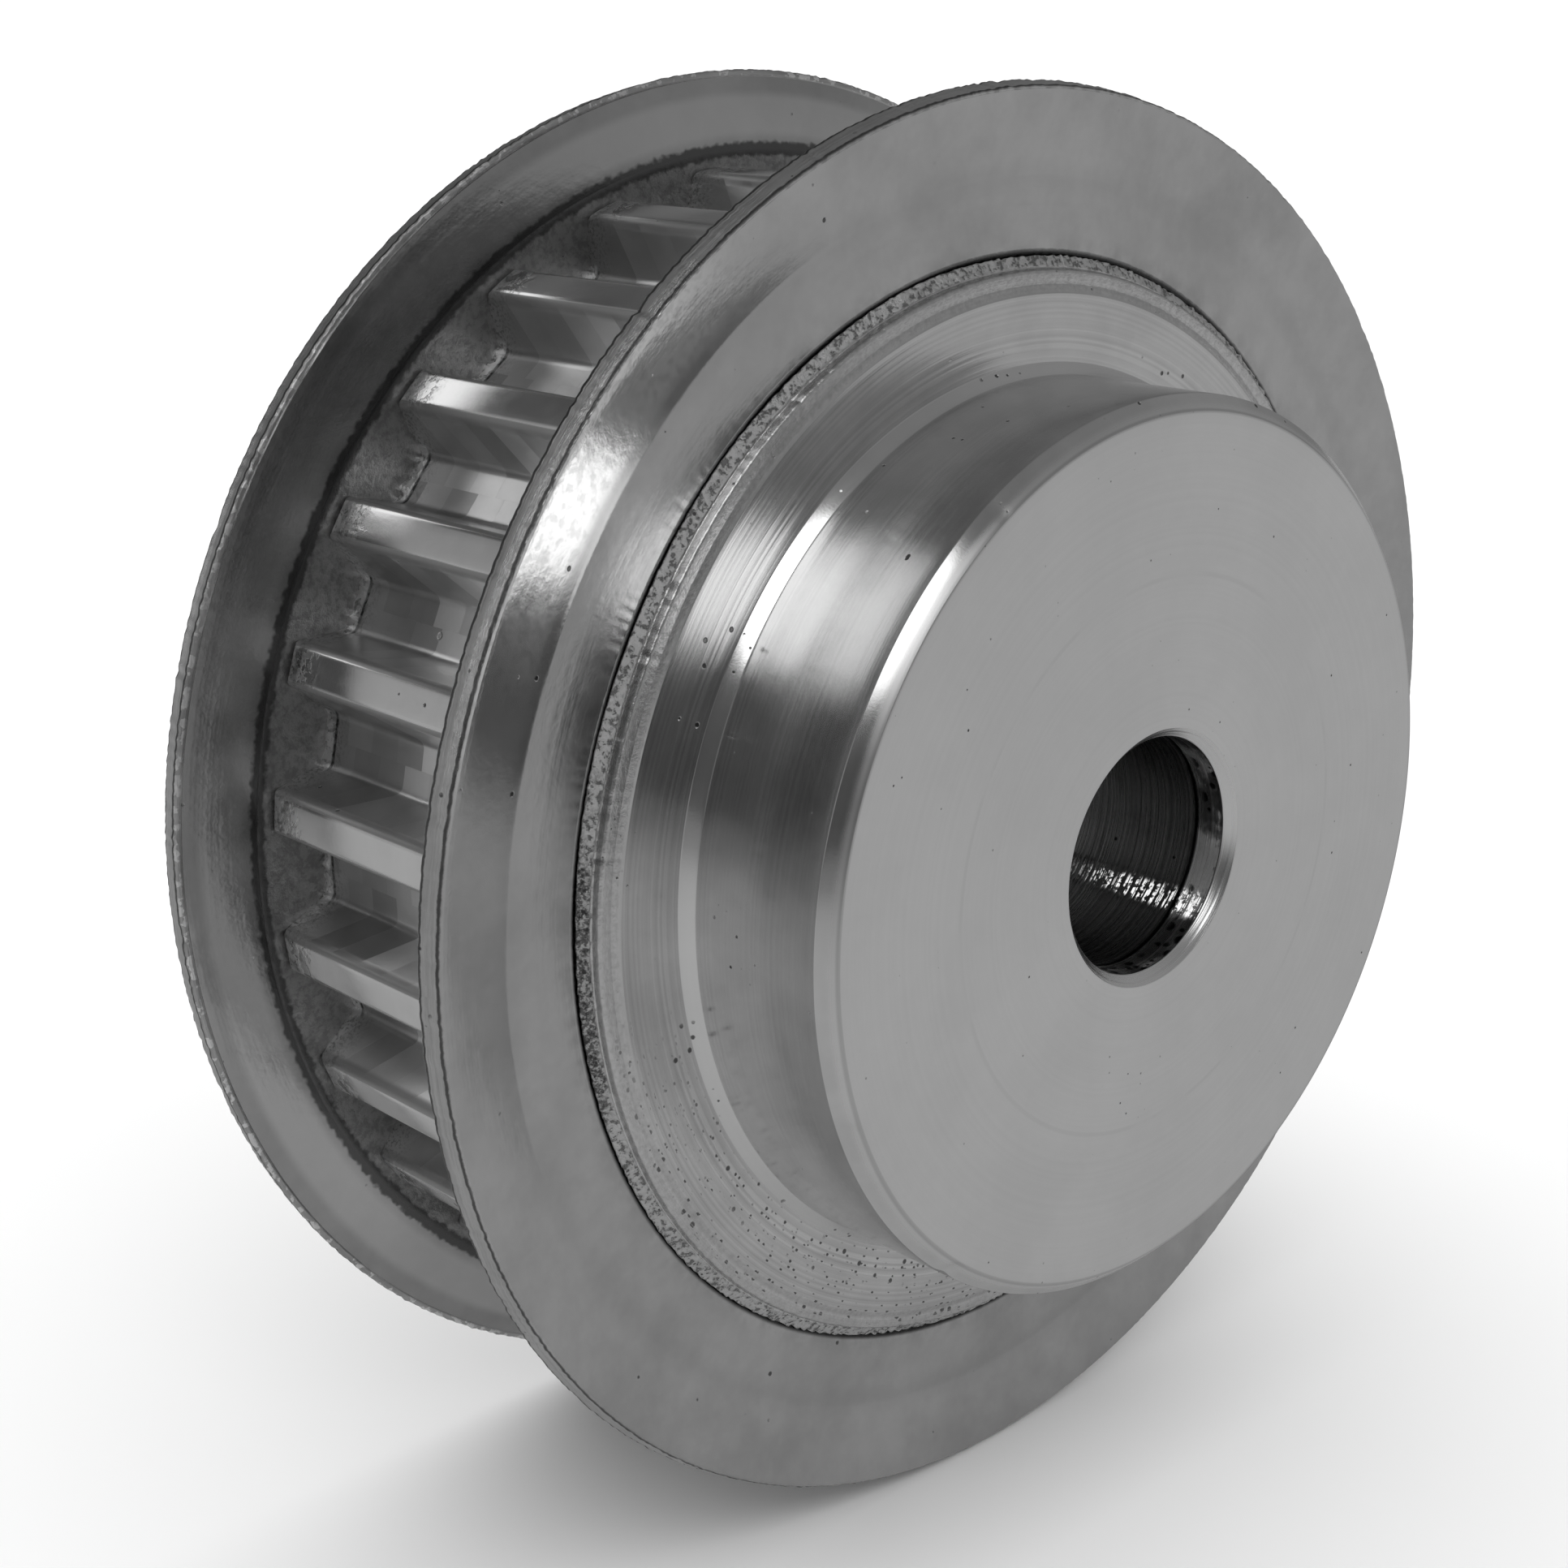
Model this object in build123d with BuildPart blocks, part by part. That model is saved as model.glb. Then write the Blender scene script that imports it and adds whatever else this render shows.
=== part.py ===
from build123d import *
import os
from math import cos, pi, radians, sin, tan

# Timing belt pulley: a toothed aluminium body with a hub on one side, and two
# pressed steel flanges that the body's rolled collars hold against the teeth.
# The bore's axis is Y and the hub points to -Y.  The origin is on that axis,
# half-way along the teeth.  Lengths are in millimetres, angles in degrees.

# ---- Belt teeth: metric trapezoidal profile, 5 mm pitch ----
belt_pitch = 5.0
tooth_count = 27
tip_below_pitch_line = 0.415
groove_depth = 1.95
groove_floor_width = 1.83
groove_flank_angle = 25.0  # from the groove's centre line, on each side
groove_root_radius = 0.35
cutter_overshoot = 1.0  # how far the groove's cut runs past the tooth tips
tooth_tip_radius = 0.3
tooth_width = 11.8  # along the axis, from flange to flange
tooth_end_chamfer = 0.3
first_groove_angle = 8.6  # from +X towards +Z

# ---- Flanges: pressed from sheet ----
flange_thickness = 0.9
flange_diameter = 48.5
flange_bend_diameter = 42.7  # on the face away from the belt
flange_lip_angle = 12.0
flange_bend_radius = 1.0  # on the inside of the bend
flange_edge_radius = 0.12
flange_hole_clearance = 0.05  # radial, around the spigot
flange_hole_bevel_width = 0.75  # radial, on the face away from the belt
flange_hole_bevel_depth = 0.45  # along the axis

# ---- Collars: each one's edge is rolled outwards into its flange's bevelled hole ----
spigot_diameter = 36.1  # the body inside the flange's hole
collar_height = 0.7  # from the flange's flat to the collar's face
rolled_lip_diameter = 36.7
rolled_lip_width = 0.75
rolled_lip_step = 0.2  # the rolled lip lies this far below the collar's face
rolled_lip_edge_radius = 0.12

# ---- Hub and bore ----
hub_diameter = 30.0
hub_length = 6.0  # from the collar's face to the hub's face
hub_chamfer = 0.5
hub_root_radius = 0.45
bore_diameter = 8.0
bore_chamfer = 0.35

# ---- Radii and places along the axis, from the dimensions above ----
tip_radius = belt_pitch * tooth_count / (2 * pi) - tip_below_pitch_line
root_radius = tip_radius - groove_depth
flange_radius = flange_diameter / 2
spigot_radius = spigot_diameter / 2
lip_radius = rolled_lip_diameter / 2
hub_radius = hub_diameter / 2
bore_radius = bore_diameter / 2

tooth_end = tooth_width / 2
flange_flat = tooth_end + flange_thickness
collar_face = flange_flat + collar_height
hub_face = -(collar_face + hub_length)


def corner(section, x, y):
    """The section's vertex nearest to (x, y), as a list for fillet or chamfer."""
    return section.vertices().sort_by_distance((x, y))[:1]


def flange_section(side):
    """Draw a flange's section in X (radius) and Y; side is +1 or -1 along Y.

    The flat ring lies against the tooth ends, and beyond the bend a conical
    lip leans away from the belt.  The rim's edge is square to the lip, and the
    hole is bevelled where the collar is rolled into it.
    """
    hole_radius = spigot_radius + flange_hole_clearance
    outer_bend = (flange_bend_diameter / 2, side * flange_flat)
    half_turn = radians(flange_lip_angle / 2)
    inner_bend = (outer_bend[0] + flange_thickness * tan(half_turn), side * tooth_end)
    lean = radians(flange_lip_angle)
    rim_rise = (flange_radius - inner_bend[0]) * tan(lean)
    inner_rim = (flange_radius, side * (tooth_end + rim_rise))
    outer_rim = (
        inner_rim[0] - flange_thickness * sin(lean),
        inner_rim[1] + side * flange_thickness * cos(lean),
    )
    with BuildSketch(Plane.XY) as section:
        with BuildLine():
            Polyline(
                (hole_radius, side * tooth_end),
                inner_bend,
                inner_rim,
                outer_rim,
                outer_bend,
                (hole_radius + flange_hole_bevel_width, side * flange_flat),
                (hole_radius, side * (flange_flat - flange_hole_bevel_depth)),
                close=True,
            )
        make_face()
        fillet(corner(section, *outer_bend), radius=flange_bend_radius)
        fillet(corner(section, *inner_bend), radius=flange_bend_radius + flange_thickness)
        for rim_corner in (inner_rim, outer_rim):
            fillet(corner(section, *rim_corner), radius=flange_edge_radius)
    return section.sketch


# ---- Toothed body: teeth, collars, hub and bore in one piece ----
with BuildPart() as toothed_body:
    # The toothed disc, from one tooth end to the other.
    with BuildSketch(Plane.XZ.offset(-tooth_end)) as tooth_outline:
        Circle(tip_radius)
        groove_height = groove_depth + cutter_overshoot
        half_floor = groove_floor_width / 2
        half_mouth = half_floor + groove_height * tan(radians(groove_flank_angle))
        with PolarLocations(root_radius, tooth_count, start_angle=first_groove_angle):
            Polygon(
                (0, -half_floor),
                (groove_height, -half_mouth),
                (groove_height, half_mouth),
                (0, half_floor),
                align=None,
                mode=Mode.SUBTRACT,
            )
        mid_radius = (root_radius + tip_radius) / 2
        floor_corners = tooth_outline.vertices().filter_by(lambda v: Vector(*v).length < mid_radius)
        fillet(floor_corners, radius=groove_root_radius)
        tip_corners = tooth_outline.vertices().filter_by(lambda v: Vector(*v).length > mid_radius)
        fillet(tip_corners, radius=tooth_tip_radius)
    extrude(amount=tooth_width)

    # The turned blank: its chamfered ends break the tooth tips.
    with BuildSketch(Plane.XY) as blank:
        with BuildLine():
            Polyline(
                (0, -tooth_end),
                (tip_radius - tooth_end_chamfer, -tooth_end),
                (tip_radius, tooth_end_chamfer - tooth_end),
                (tip_radius, tooth_end - tooth_end_chamfer),
                (tip_radius - tooth_end_chamfer, tooth_end),
                (0, tooth_end),
                close=True,
            )
        make_face()
    revolve(axis=Axis.Y, mode=Mode.INTERSECT)

    # The core: hub, spigots and the collars that are rolled over the flanges.
    with BuildSketch(Plane.XY) as core:
        with BuildLine():
            lip_top = collar_face - rolled_lip_step
            lip_root = flange_flat - flange_hole_bevel_depth
            lip_overhang = lip_radius - spigot_radius
            half_outline = [
                (spigot_radius, lip_root),
                (lip_radius, lip_root + lip_overhang),
                (lip_radius, lip_top),
                (lip_radius - rolled_lip_width + rolled_lip_step, lip_top),
                (lip_radius - rolled_lip_width, collar_face),
            ]
            Polyline(
                (0, hub_face),
                (hub_radius, hub_face),
                (hub_radius, -collar_face),
                *[(x, -y) for x, y in reversed(half_outline)],
                *half_outline,
                (0, collar_face),
                close=True,
            )
        make_face()
        chamfer(corner(core, hub_radius, hub_face), length=hub_chamfer)
        fillet(corner(core, hub_radius, -collar_face), radius=hub_root_radius)
        for side in (-1, 1):
            fillet(corner(core, lip_radius, side * lip_top), radius=rolled_lip_edge_radius)
    revolve(axis=Axis.Y)

    # The bore, right through, with a chamfer at each mouth.
    with BuildSketch(Plane.XY) as bore:
        with BuildLine():
            mouth_radius = bore_radius + bore_chamfer
            Polyline(
                (0, hub_face),
                (mouth_radius, hub_face),
                (bore_radius, hub_face + bore_chamfer),
                (bore_radius, collar_face - bore_chamfer),
                (mouth_radius, collar_face),
                (0, collar_face),
                close=True,
            )
        make_face()
    revolve(axis=Axis.Y, mode=Mode.SUBTRACT)
toothed_body.part.label = "toothed_body"

# ---- The two flanges ----
with BuildPart() as hub_side_flange:
    add(flange_section(-1))
    revolve(axis=Axis.Y)
hub_side_flange.part.label = "hub_side_flange"

with BuildPart() as rear_flange:
    add(flange_section(1))
    revolve(axis=Axis.Y)
rear_flange.part.label = "rear_flange"

# ---- One STEP file for each piece ----
os.makedirs("parts", exist_ok=True)
for piece in (toothed_body, hub_side_flange, rear_flange):
    export_step(piece.part, f"parts/{piece.part.label}.step")
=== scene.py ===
import math
from types import SimpleNamespace

import bpy
import numpy as np
from mathutils import Matrix, Vector


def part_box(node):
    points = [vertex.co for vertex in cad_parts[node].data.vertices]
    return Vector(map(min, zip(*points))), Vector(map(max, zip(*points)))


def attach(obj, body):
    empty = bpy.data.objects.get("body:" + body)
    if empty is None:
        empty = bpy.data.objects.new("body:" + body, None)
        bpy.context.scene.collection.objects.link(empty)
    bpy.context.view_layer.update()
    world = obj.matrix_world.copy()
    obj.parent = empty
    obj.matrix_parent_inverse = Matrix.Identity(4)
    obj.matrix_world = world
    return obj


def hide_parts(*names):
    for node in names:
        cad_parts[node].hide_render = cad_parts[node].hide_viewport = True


# Timing belt pulley: a turned aluminium body with milled teeth, and two pressed
# zinc-plated flanges that the body's rolled collars hold against the teeth.
# It stands in the CAD frame: the bore's axis is Y, the hub points to -Y and Z is up.
# Sizes below are in millimetres, and closed_grid turns them into metres.

MM = 0.001
SEED = 27

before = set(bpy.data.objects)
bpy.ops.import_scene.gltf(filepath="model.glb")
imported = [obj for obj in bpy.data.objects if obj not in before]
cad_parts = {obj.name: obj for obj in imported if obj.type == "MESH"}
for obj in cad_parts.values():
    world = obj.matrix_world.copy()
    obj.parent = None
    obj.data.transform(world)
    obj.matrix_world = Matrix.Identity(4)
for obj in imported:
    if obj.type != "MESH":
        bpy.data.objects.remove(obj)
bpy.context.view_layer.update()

# ---- Teeth ----
TOOTH_COUNT = 27
TOOTH_PITCH = 5.0
TOOTH_DEPTH = 1.95
PITCH_LINE_HEIGHT = 0.415
TIP_RADIUS = TOOTH_PITCH * TOOTH_COUNT / (2 * math.pi) - PITCH_LINE_HEIGHT
ROOT_RADIUS = TIP_RADIUS - TOOTH_DEPTH
HALF_FLOOR = 0.915
FLANK_ANGLE = math.radians(25)
ROOT_FILLET = 0.35
TIP_FILLET = 0.3
FIRST_GROOVE = math.radians(8.6)
TOOTH_END = 5.9
TOOTH_CHAMFER = 0.3
BURR_PLACES = (5.5, 5.4, 5.25)
CUTTER_STEP = 1.35
CUTTER_SLANT = -0.75

# ---- Hub, bore, collars and their rolled lips ----
HUB_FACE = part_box("toothed_body")[0].y / MM
COLLAR_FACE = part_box("toothed_body")[1].y / MM
HUB_RADIUS = 15.0
HUB_CHAMFER = 0.5
ROOT_CONE = 0.38
BORE_RADIUS = 4.0
BORE_CHAMFER = 0.35
BORE_STEP = 1.45
SPIGOT_RADIUS = 18.05
SKIRT_FOOT = 6.38
SKIRT_RADIUS = 18.80
SKIRT_HEIGHT = 0.30
SKIRT_EDGE = 0.03
LIP_RADIUS = 18.35
LIP_TOP = COLLAR_FACE - 0.1
LIP_INNER = 17.6
LIP_SLOPE = 0.3
CRIMP_END = 19.0

# Nicks in the hub's edge: degrees round the axis, place along it, radius, width, depth.
HUB_NICKS = (
    (232, -13.2, 14.8, 0.35, 0.16),
    (201, -13.25, 14.7, 0.2, 0.07),
    (122, -13.25, 14.7, 0.22, 0.06),
    (310, -13.2, 14.8, 0.25, 0.08),
)

# ---- Flanges: the hole, the flat, and the two corners of the leaning lip's rim ----
HOLE_RADIUS = 18.10
HOLE_MIDDLE = 6.1
BEVEL_WIDTH = 0.75
BEVEL_DEPTH = 0.45
FLANGE_FLAT = 6.8
OUTER_BEND = 21.35
INNER_BEND = 21.445
RIM_OUTER = (24.063, 7.377)
RIM_INNER = (24.25, 6.496)
RIM_START = 23.9
RIM_NICKS = 22
FLANGE_COLUMNS = 1300

# ---- Mesh settings ----
BODY_BANDS = ("turned", "bore", "teeth")
FULL_TURN = 2 * math.pi
SHARP_ANGLE = math.radians(40)
FLOOR_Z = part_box("hub_side_flange")[0].z


# ---- Profiles and meshes ----
def rounded(corners, steps=4):
    """A polyline whose corners (x, y, radius) are replaced by arcs."""
    points = []
    for index, (x, y, radius) in enumerate(corners):
        here = np.array((x, y))
        if radius == 0 or index in (0, len(corners) - 1):
            points.append(here)
            continue
        back = np.array(corners[index - 1][:2]) - here
        ahead = np.array(corners[index + 1][:2]) - here
        back /= np.linalg.norm(back)
        ahead /= np.linalg.norm(ahead)
        half = math.acos(float(np.clip(back @ ahead, -1, 1))) / 2
        reach = radius / math.tan(half)
        start, end = here + back * reach, here + ahead * reach
        inward = (back + ahead) / np.linalg.norm(back + ahead)
        centre = here + inward * radius / math.sin(half)
        for share in np.linspace(0, 1, steps + 1):
            arm = (start - centre) * (1 - share) + (end - centre) * share
            points.append(centre + arm / np.linalg.norm(arm) * radius)
    return points


def divided(points, longest):
    """The same polyline with every stretch cut into pieces no longer than that."""
    out = [points[0]]
    for start, end in zip(points, points[1:]):
        count = max(1, math.ceil(np.linalg.norm(end - start) / longest))
        out += [start + (end - start) * k / count for k in range(1, count + 1)]
    return out


def rising(value, start, width):
    """0 up to the start, 1 from start + width on, and a straight slope between them."""
    return np.clip((value - start) / width, 0, 1)


def ring_noise(angle, along, seed, waves, reach, count):
    """Smooth seeded noise around the ring: count waves, with (least, most) turns in each."""
    random = np.random.default_rng(SEED + seed)
    total = 0
    for _ in range(count):
        turns = random.integers(*waves)
        twist = random.normal(0, reach)
        total = total + np.sin(turns * angle + twist * along + random.uniform(0, FULL_TURN))
    return total * math.sqrt(2 / count) / 2


def nicked(radius, along, angle, nicks):
    """Small dents: each nick is (angle, place along the axis, radius, width, depth)."""
    for turn, place, at_radius, width, depth in nicks:
        away = (((angle - turn + math.pi) % FULL_TURN) - math.pi) * at_radius
        gap = (away**2 + (along - place) ** 2 + (radius - at_radius) ** 2) / width**2
        radius = radius - depth * np.exp(-gap)
    return radius


def closed_grid(name, radius, along, angle, bands, order):
    """A closed ring mesh from rows of radii and heights, one column for each angle."""
    rows, columns = radius.shape
    x, z = radius * np.cos(angle), radius * np.sin(angle)
    points = np.stack([x, along, z], axis=-1).reshape(-1, 3) * MM
    row, column = np.meshgrid(np.arange(rows), np.arange(columns), indexing="ij")
    next_row, next_column = (row + 1) % rows, (column + 1) % columns
    corners = [(row, column), (next_row, column), (next_row, next_column), (row, next_column)]
    faces = np.stack([a * columns + b for a, b in corners], axis=-1).reshape(-1, 4)
    mesh = bpy.data.meshes.new(name)
    mesh.from_pydata(points.tolist(), [], faces.tolist())
    slots = np.repeat([order.index(band) for band in bands], columns)
    mesh.polygons.foreach_set("material_index", slots)
    mesh.polygons.foreach_set("use_smooth", np.ones(len(faces), bool))
    mesh.update()
    mesh.set_sharp_from_angle(angle=SHARP_ANGLE)
    piece = bpy.data.objects.new(name, mesh)
    bpy.context.scene.collection.objects.link(piece)
    return piece


# ---- Toothed body ----
def groove_outline():
    """Half a groove, from its middle to the middle of the tooth, as angles and radii."""
    tip_y = ROOT_RADIUS + TOOTH_DEPTH
    for _ in range(2):
        mouth = HALF_FLOOR + (tip_y - ROOT_RADIUS) * math.tan(FLANK_ANGLE)
        tip_y = math.sqrt(TIP_RADIUS**2 - mouth**2)
    half_pitch = math.pi / TOOTH_COUNT
    corners = [
        (0, ROOT_RADIUS, 0),
        (HALF_FLOOR, ROOT_RADIUS, ROOT_FILLET),
        (mouth, tip_y, TIP_FILLET),
        (TIP_RADIUS * math.sin(half_pitch), TIP_RADIUS * math.cos(half_pitch), 0),
    ]
    points = np.array(divided(rounded(corners, steps=5), longest=0.32))
    return np.arctan2(points[:, 0], points[:, 1]), np.hypot(points[:, 0], points[:, 1])


def tooth_ring():
    """The toothed outline right round: the angle and radius of each column."""
    half_angle, half_radius = groove_outline()
    one_angle = np.concatenate([-half_angle[:0:-1], half_angle[:-1]])
    one_radius = np.concatenate([half_radius[:0:-1], half_radius[:-1]])
    turns = np.arange(TOOTH_COUNT) * FULL_TURN / TOOTH_COUNT + FIRST_GROOVE
    angle = (turns[:, None] + one_angle).ravel()
    return angle, np.tile(one_radius, TOOTH_COUNT)


def crimped_lip(side):
    """The rolled lip and the skirt it spreads over the flange, from collar to spigot."""
    corners = [
        (LIP_INNER + LIP_SLOPE, LIP_TOP, 0.1),
        (LIP_RADIUS, LIP_TOP, 0.12),
        (LIP_RADIUS + SKIRT_EDGE, FLANGE_FLAT + SKIRT_HEIGHT, 0.05),
        (SKIRT_RADIUS, FLANGE_FLAT + SKIRT_EDGE, 0.04),
        (SKIRT_RADIUS - SKIRT_EDGE, FLANGE_FLAT - SKIRT_EDGE, 0),
        (SPIGOT_RADIUS, SKIRT_FOOT, 0.03),
        (SPIGOT_RADIUS, TOOTH_END, 0),
    ]
    return [(x, side * y, radius) for x, y, radius in corners]


def front_profile():
    """The hub's half of the body's section, from the middle of the bore to the teeth."""
    return [
        (BORE_RADIUS, 0, 0),
        (BORE_RADIUS, HUB_FACE + BORE_CHAMFER, 0.05),
        (BORE_RADIUS + BORE_CHAMFER, HUB_FACE, 0.05),
        (HUB_RADIUS - HUB_CHAMFER, HUB_FACE, 0.06),
        (HUB_RADIUS, HUB_FACE + HUB_CHAMFER, 0.06),
        (HUB_RADIUS, -COLLAR_FACE - ROOT_CONE, 0.12),
        (HUB_RADIUS + ROOT_CONE, -COLLAR_FACE, 0.06),
        (LIP_INNER, -COLLAR_FACE, 0.06),
        *crimped_lip(-1),
    ]


def rear_profile():
    """The other half, from the teeth back to the middle of the bore."""
    return [
        *reversed(crimped_lip(1)),
        (LIP_INNER, COLLAR_FACE, 0.06),
        (BORE_RADIUS + BORE_CHAMFER, COLLAR_FACE, 0.05),
        (BORE_RADIUS, COLLAR_FACE - BORE_CHAMFER, 0.05),
        (BORE_RADIUS, 0, 0),
    ]


def tooth_rows(side, tooth_radius):
    """Rows from the tooth's flat end, over its chamfer, to the middle of the tooth."""
    end_radius = np.minimum(tooth_radius, TIP_RADIUS - TOOTH_CHAMFER)
    rows = []
    for share in np.linspace(0, 1, 6)[1:]:
        rows.append((SPIGOT_RADIUS + (end_radius - SPIGOT_RADIUS) * share, TOOTH_END))
    for turn in np.linspace(0, math.pi / 2, 5)[1:]:
        limit = TIP_RADIUS - TOOTH_CHAMFER + TOOTH_CHAMFER * math.sin(turn)
        place = TOOTH_END - TOOTH_CHAMFER * (1 - math.cos(turn))
        rows.append((np.minimum(tooth_radius, limit), place))
    for place in (*BURR_PLACES, *np.linspace(4.8, 0, 8)):
        rows.append((tooth_radius, place))
    return [(radius, side * place) for radius, place in rows]


def roughened_lip(radius, along, angle):
    """The rolled lip isn't quite round or level: the crimping wheel leaves small waves."""
    on_lip = rising(radius, LIP_INNER + 0.05, 0.25) * (radius < CRIMP_END)
    on_lip = on_lip * rising(abs(along), 6.3, 0.4)
    on_skirt = on_lip * rising(radius, LIP_RADIUS, 0.2)
    wave = ring_noise(angle, along, seed=1, waves=(60, 330), reach=0.6, count=60)
    slow = ring_noise(angle, along, seed=2, waves=(2, 14), reach=0.2, count=8)
    torn = ring_noise(angle, along, seed=3, waves=(120, 420), reach=1.5, count=80)
    widened = on_lip * 0.012 * (wave + slow) + on_skirt * 0.03 * (torn + slow)
    raised = on_lip * (0.006 * wave + 0.012 * slow - 0.01) + on_skirt * 0.022 * torn
    return radius + widened, along + np.sign(along) * raised


def worn_teeth(radius, along, angle):
    """Light wear over the teeth, and a ragged burr where the grooves run out."""
    toothed = (radius > 18.6) & (abs(along) < TOOTH_END + 0.01)
    wear = ring_noise(angle, along, seed=5, waves=(30, 220), reach=2.5, count=40)
    radius = np.where(toothed, radius + 0.004 * wear, radius)
    ragged = ring_noise(angle, along, seed=6, waves=(40, 300), reach=1.0, count=40)
    burr = 0.13 * np.clip(ragged + 0.4, 0, 1.4) * rising(abs(along), TOOTH_END - 0.45, 0.3)
    burr = burr * (1 - rising(radius, TIP_RADIUS - 1.1, 0.5))
    return np.where(toothed, radius + burr, radius)


def build_body():
    angle, tooth_radius = tooth_ring()
    front = divided(rounded(front_profile()), longest=0.6)
    rear = divided(rounded(rear_profile()), longest=0.6)[:-1]
    teeth = tooth_rows(-1, tooth_radius) + tooth_rows(1, tooth_radius)[-2::-1]
    rows, bands = [], []
    for points, band in ((front, "turned"), (teeth, "teeth"), (rear, "turned")):
        for x, y in points:
            rows.append((x * np.ones_like(angle), np.full_like(angle, y)))
            in_bore = band == "turned" and x < BORE_RADIUS + BORE_CHAMFER - 0.05
            bands.append("bore" if in_bore else band)
    radius, along = np.array(rows).swapaxes(0, 1)
    radius, along = roughened_lip(radius, along, angle)
    radius = worn_teeth(radius, along, angle)
    nicks = [(math.radians(turn), *rest) for turn, *rest in HUB_NICKS]
    radius = nicked(radius, along, angle, nicks)
    return closed_grid("Toothed_body", radius, along, angle, bands, BODY_BANDS)


# ---- Flanges ----
def flange_profile():
    """A flange's closed section on the +Y side, hole first, belt side last."""
    corners = [
        (HOLE_RADIUS, HOLE_MIDDLE, 0),
        (HOLE_RADIUS, FLANGE_FLAT - BEVEL_DEPTH, 0.05),
        (HOLE_RADIUS + BEVEL_WIDTH, FLANGE_FLAT, 0.25),
        (OUTER_BEND, FLANGE_FLAT, 1.0),
        (*RIM_OUTER, 0.12),
        (*RIM_INNER, 0.12),
        (INNER_BEND, TOOTH_END, 1.9),
        (HOLE_RADIUS, TOOTH_END, 0.04),
        (HOLE_RADIUS, HOLE_MIDDLE, 0),
    ]
    return divided(rounded(corners, steps=8), longest=0.45)[:-1]


def ragged_hole(radius, along, angle, seed):
    """The bevel of the flange's hole, pushed about where the collar was crimped into it."""
    near = (1 - rising(radius, 18.7, 0.35)) * rising(abs(along), 6.3, 0.2)
    fine = ring_noise(angle, along, seed + 2, waves=(90, 420), reach=2.5, count=70)
    slow = ring_noise(angle, along, seed + 3, waves=(3, 40), reach=0.6, count=20)
    raised = near * (0.02 * fine + 0.01 * slow - 0.02)
    return radius + near * 0.03 * (fine + slow), along + np.sign(along) * raised


def rim_nicks(side, seed):
    """Random small nicks in the rim of a flange."""
    random = np.random.default_rng(SEED + seed)
    nicks = []
    for _ in range(RIM_NICKS):
        turn = random.uniform(0, FULL_TURN)
        place = side * random.uniform(6.4, 7.4)
        nicks.append((turn, place, 24.15, random.uniform(0.1, 0.28), random.uniform(0.02, 0.07)))
    return nicks


def build_flange(name, side, seed):
    """A flange that isn't quite flat, with a ragged hole and a sheared, nicked rim."""
    points = np.array(flange_profile())
    if side > 0:
        points = points[::-1]
    angle = np.linspace(0, FULL_TURN, FLANGE_COLUMNS, endpoint=False)
    radius = points[:, :1] * np.ones_like(angle)
    along = points[:, 1:] * side * np.ones_like(angle)
    radius, along = ragged_hole(radius, along, angle, seed)
    warp = ring_noise(angle, along, seed, waves=(2, 9), reach=0.0, count=8)
    along = along + 0.02 * warp * rising(radius, 19, 5)
    sheared = ring_noise(angle, along, seed + 1, waves=(80, 480), reach=1.2, count=90)
    radius = radius + 0.022 * sheared * rising(radius, RIM_START, 0.2)
    radius = nicked(radius, along, angle, rim_nicks(side, seed))
    return closed_grid(name, radius, along, angle, ["sheet"] * len(points), ("sheet",))


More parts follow.
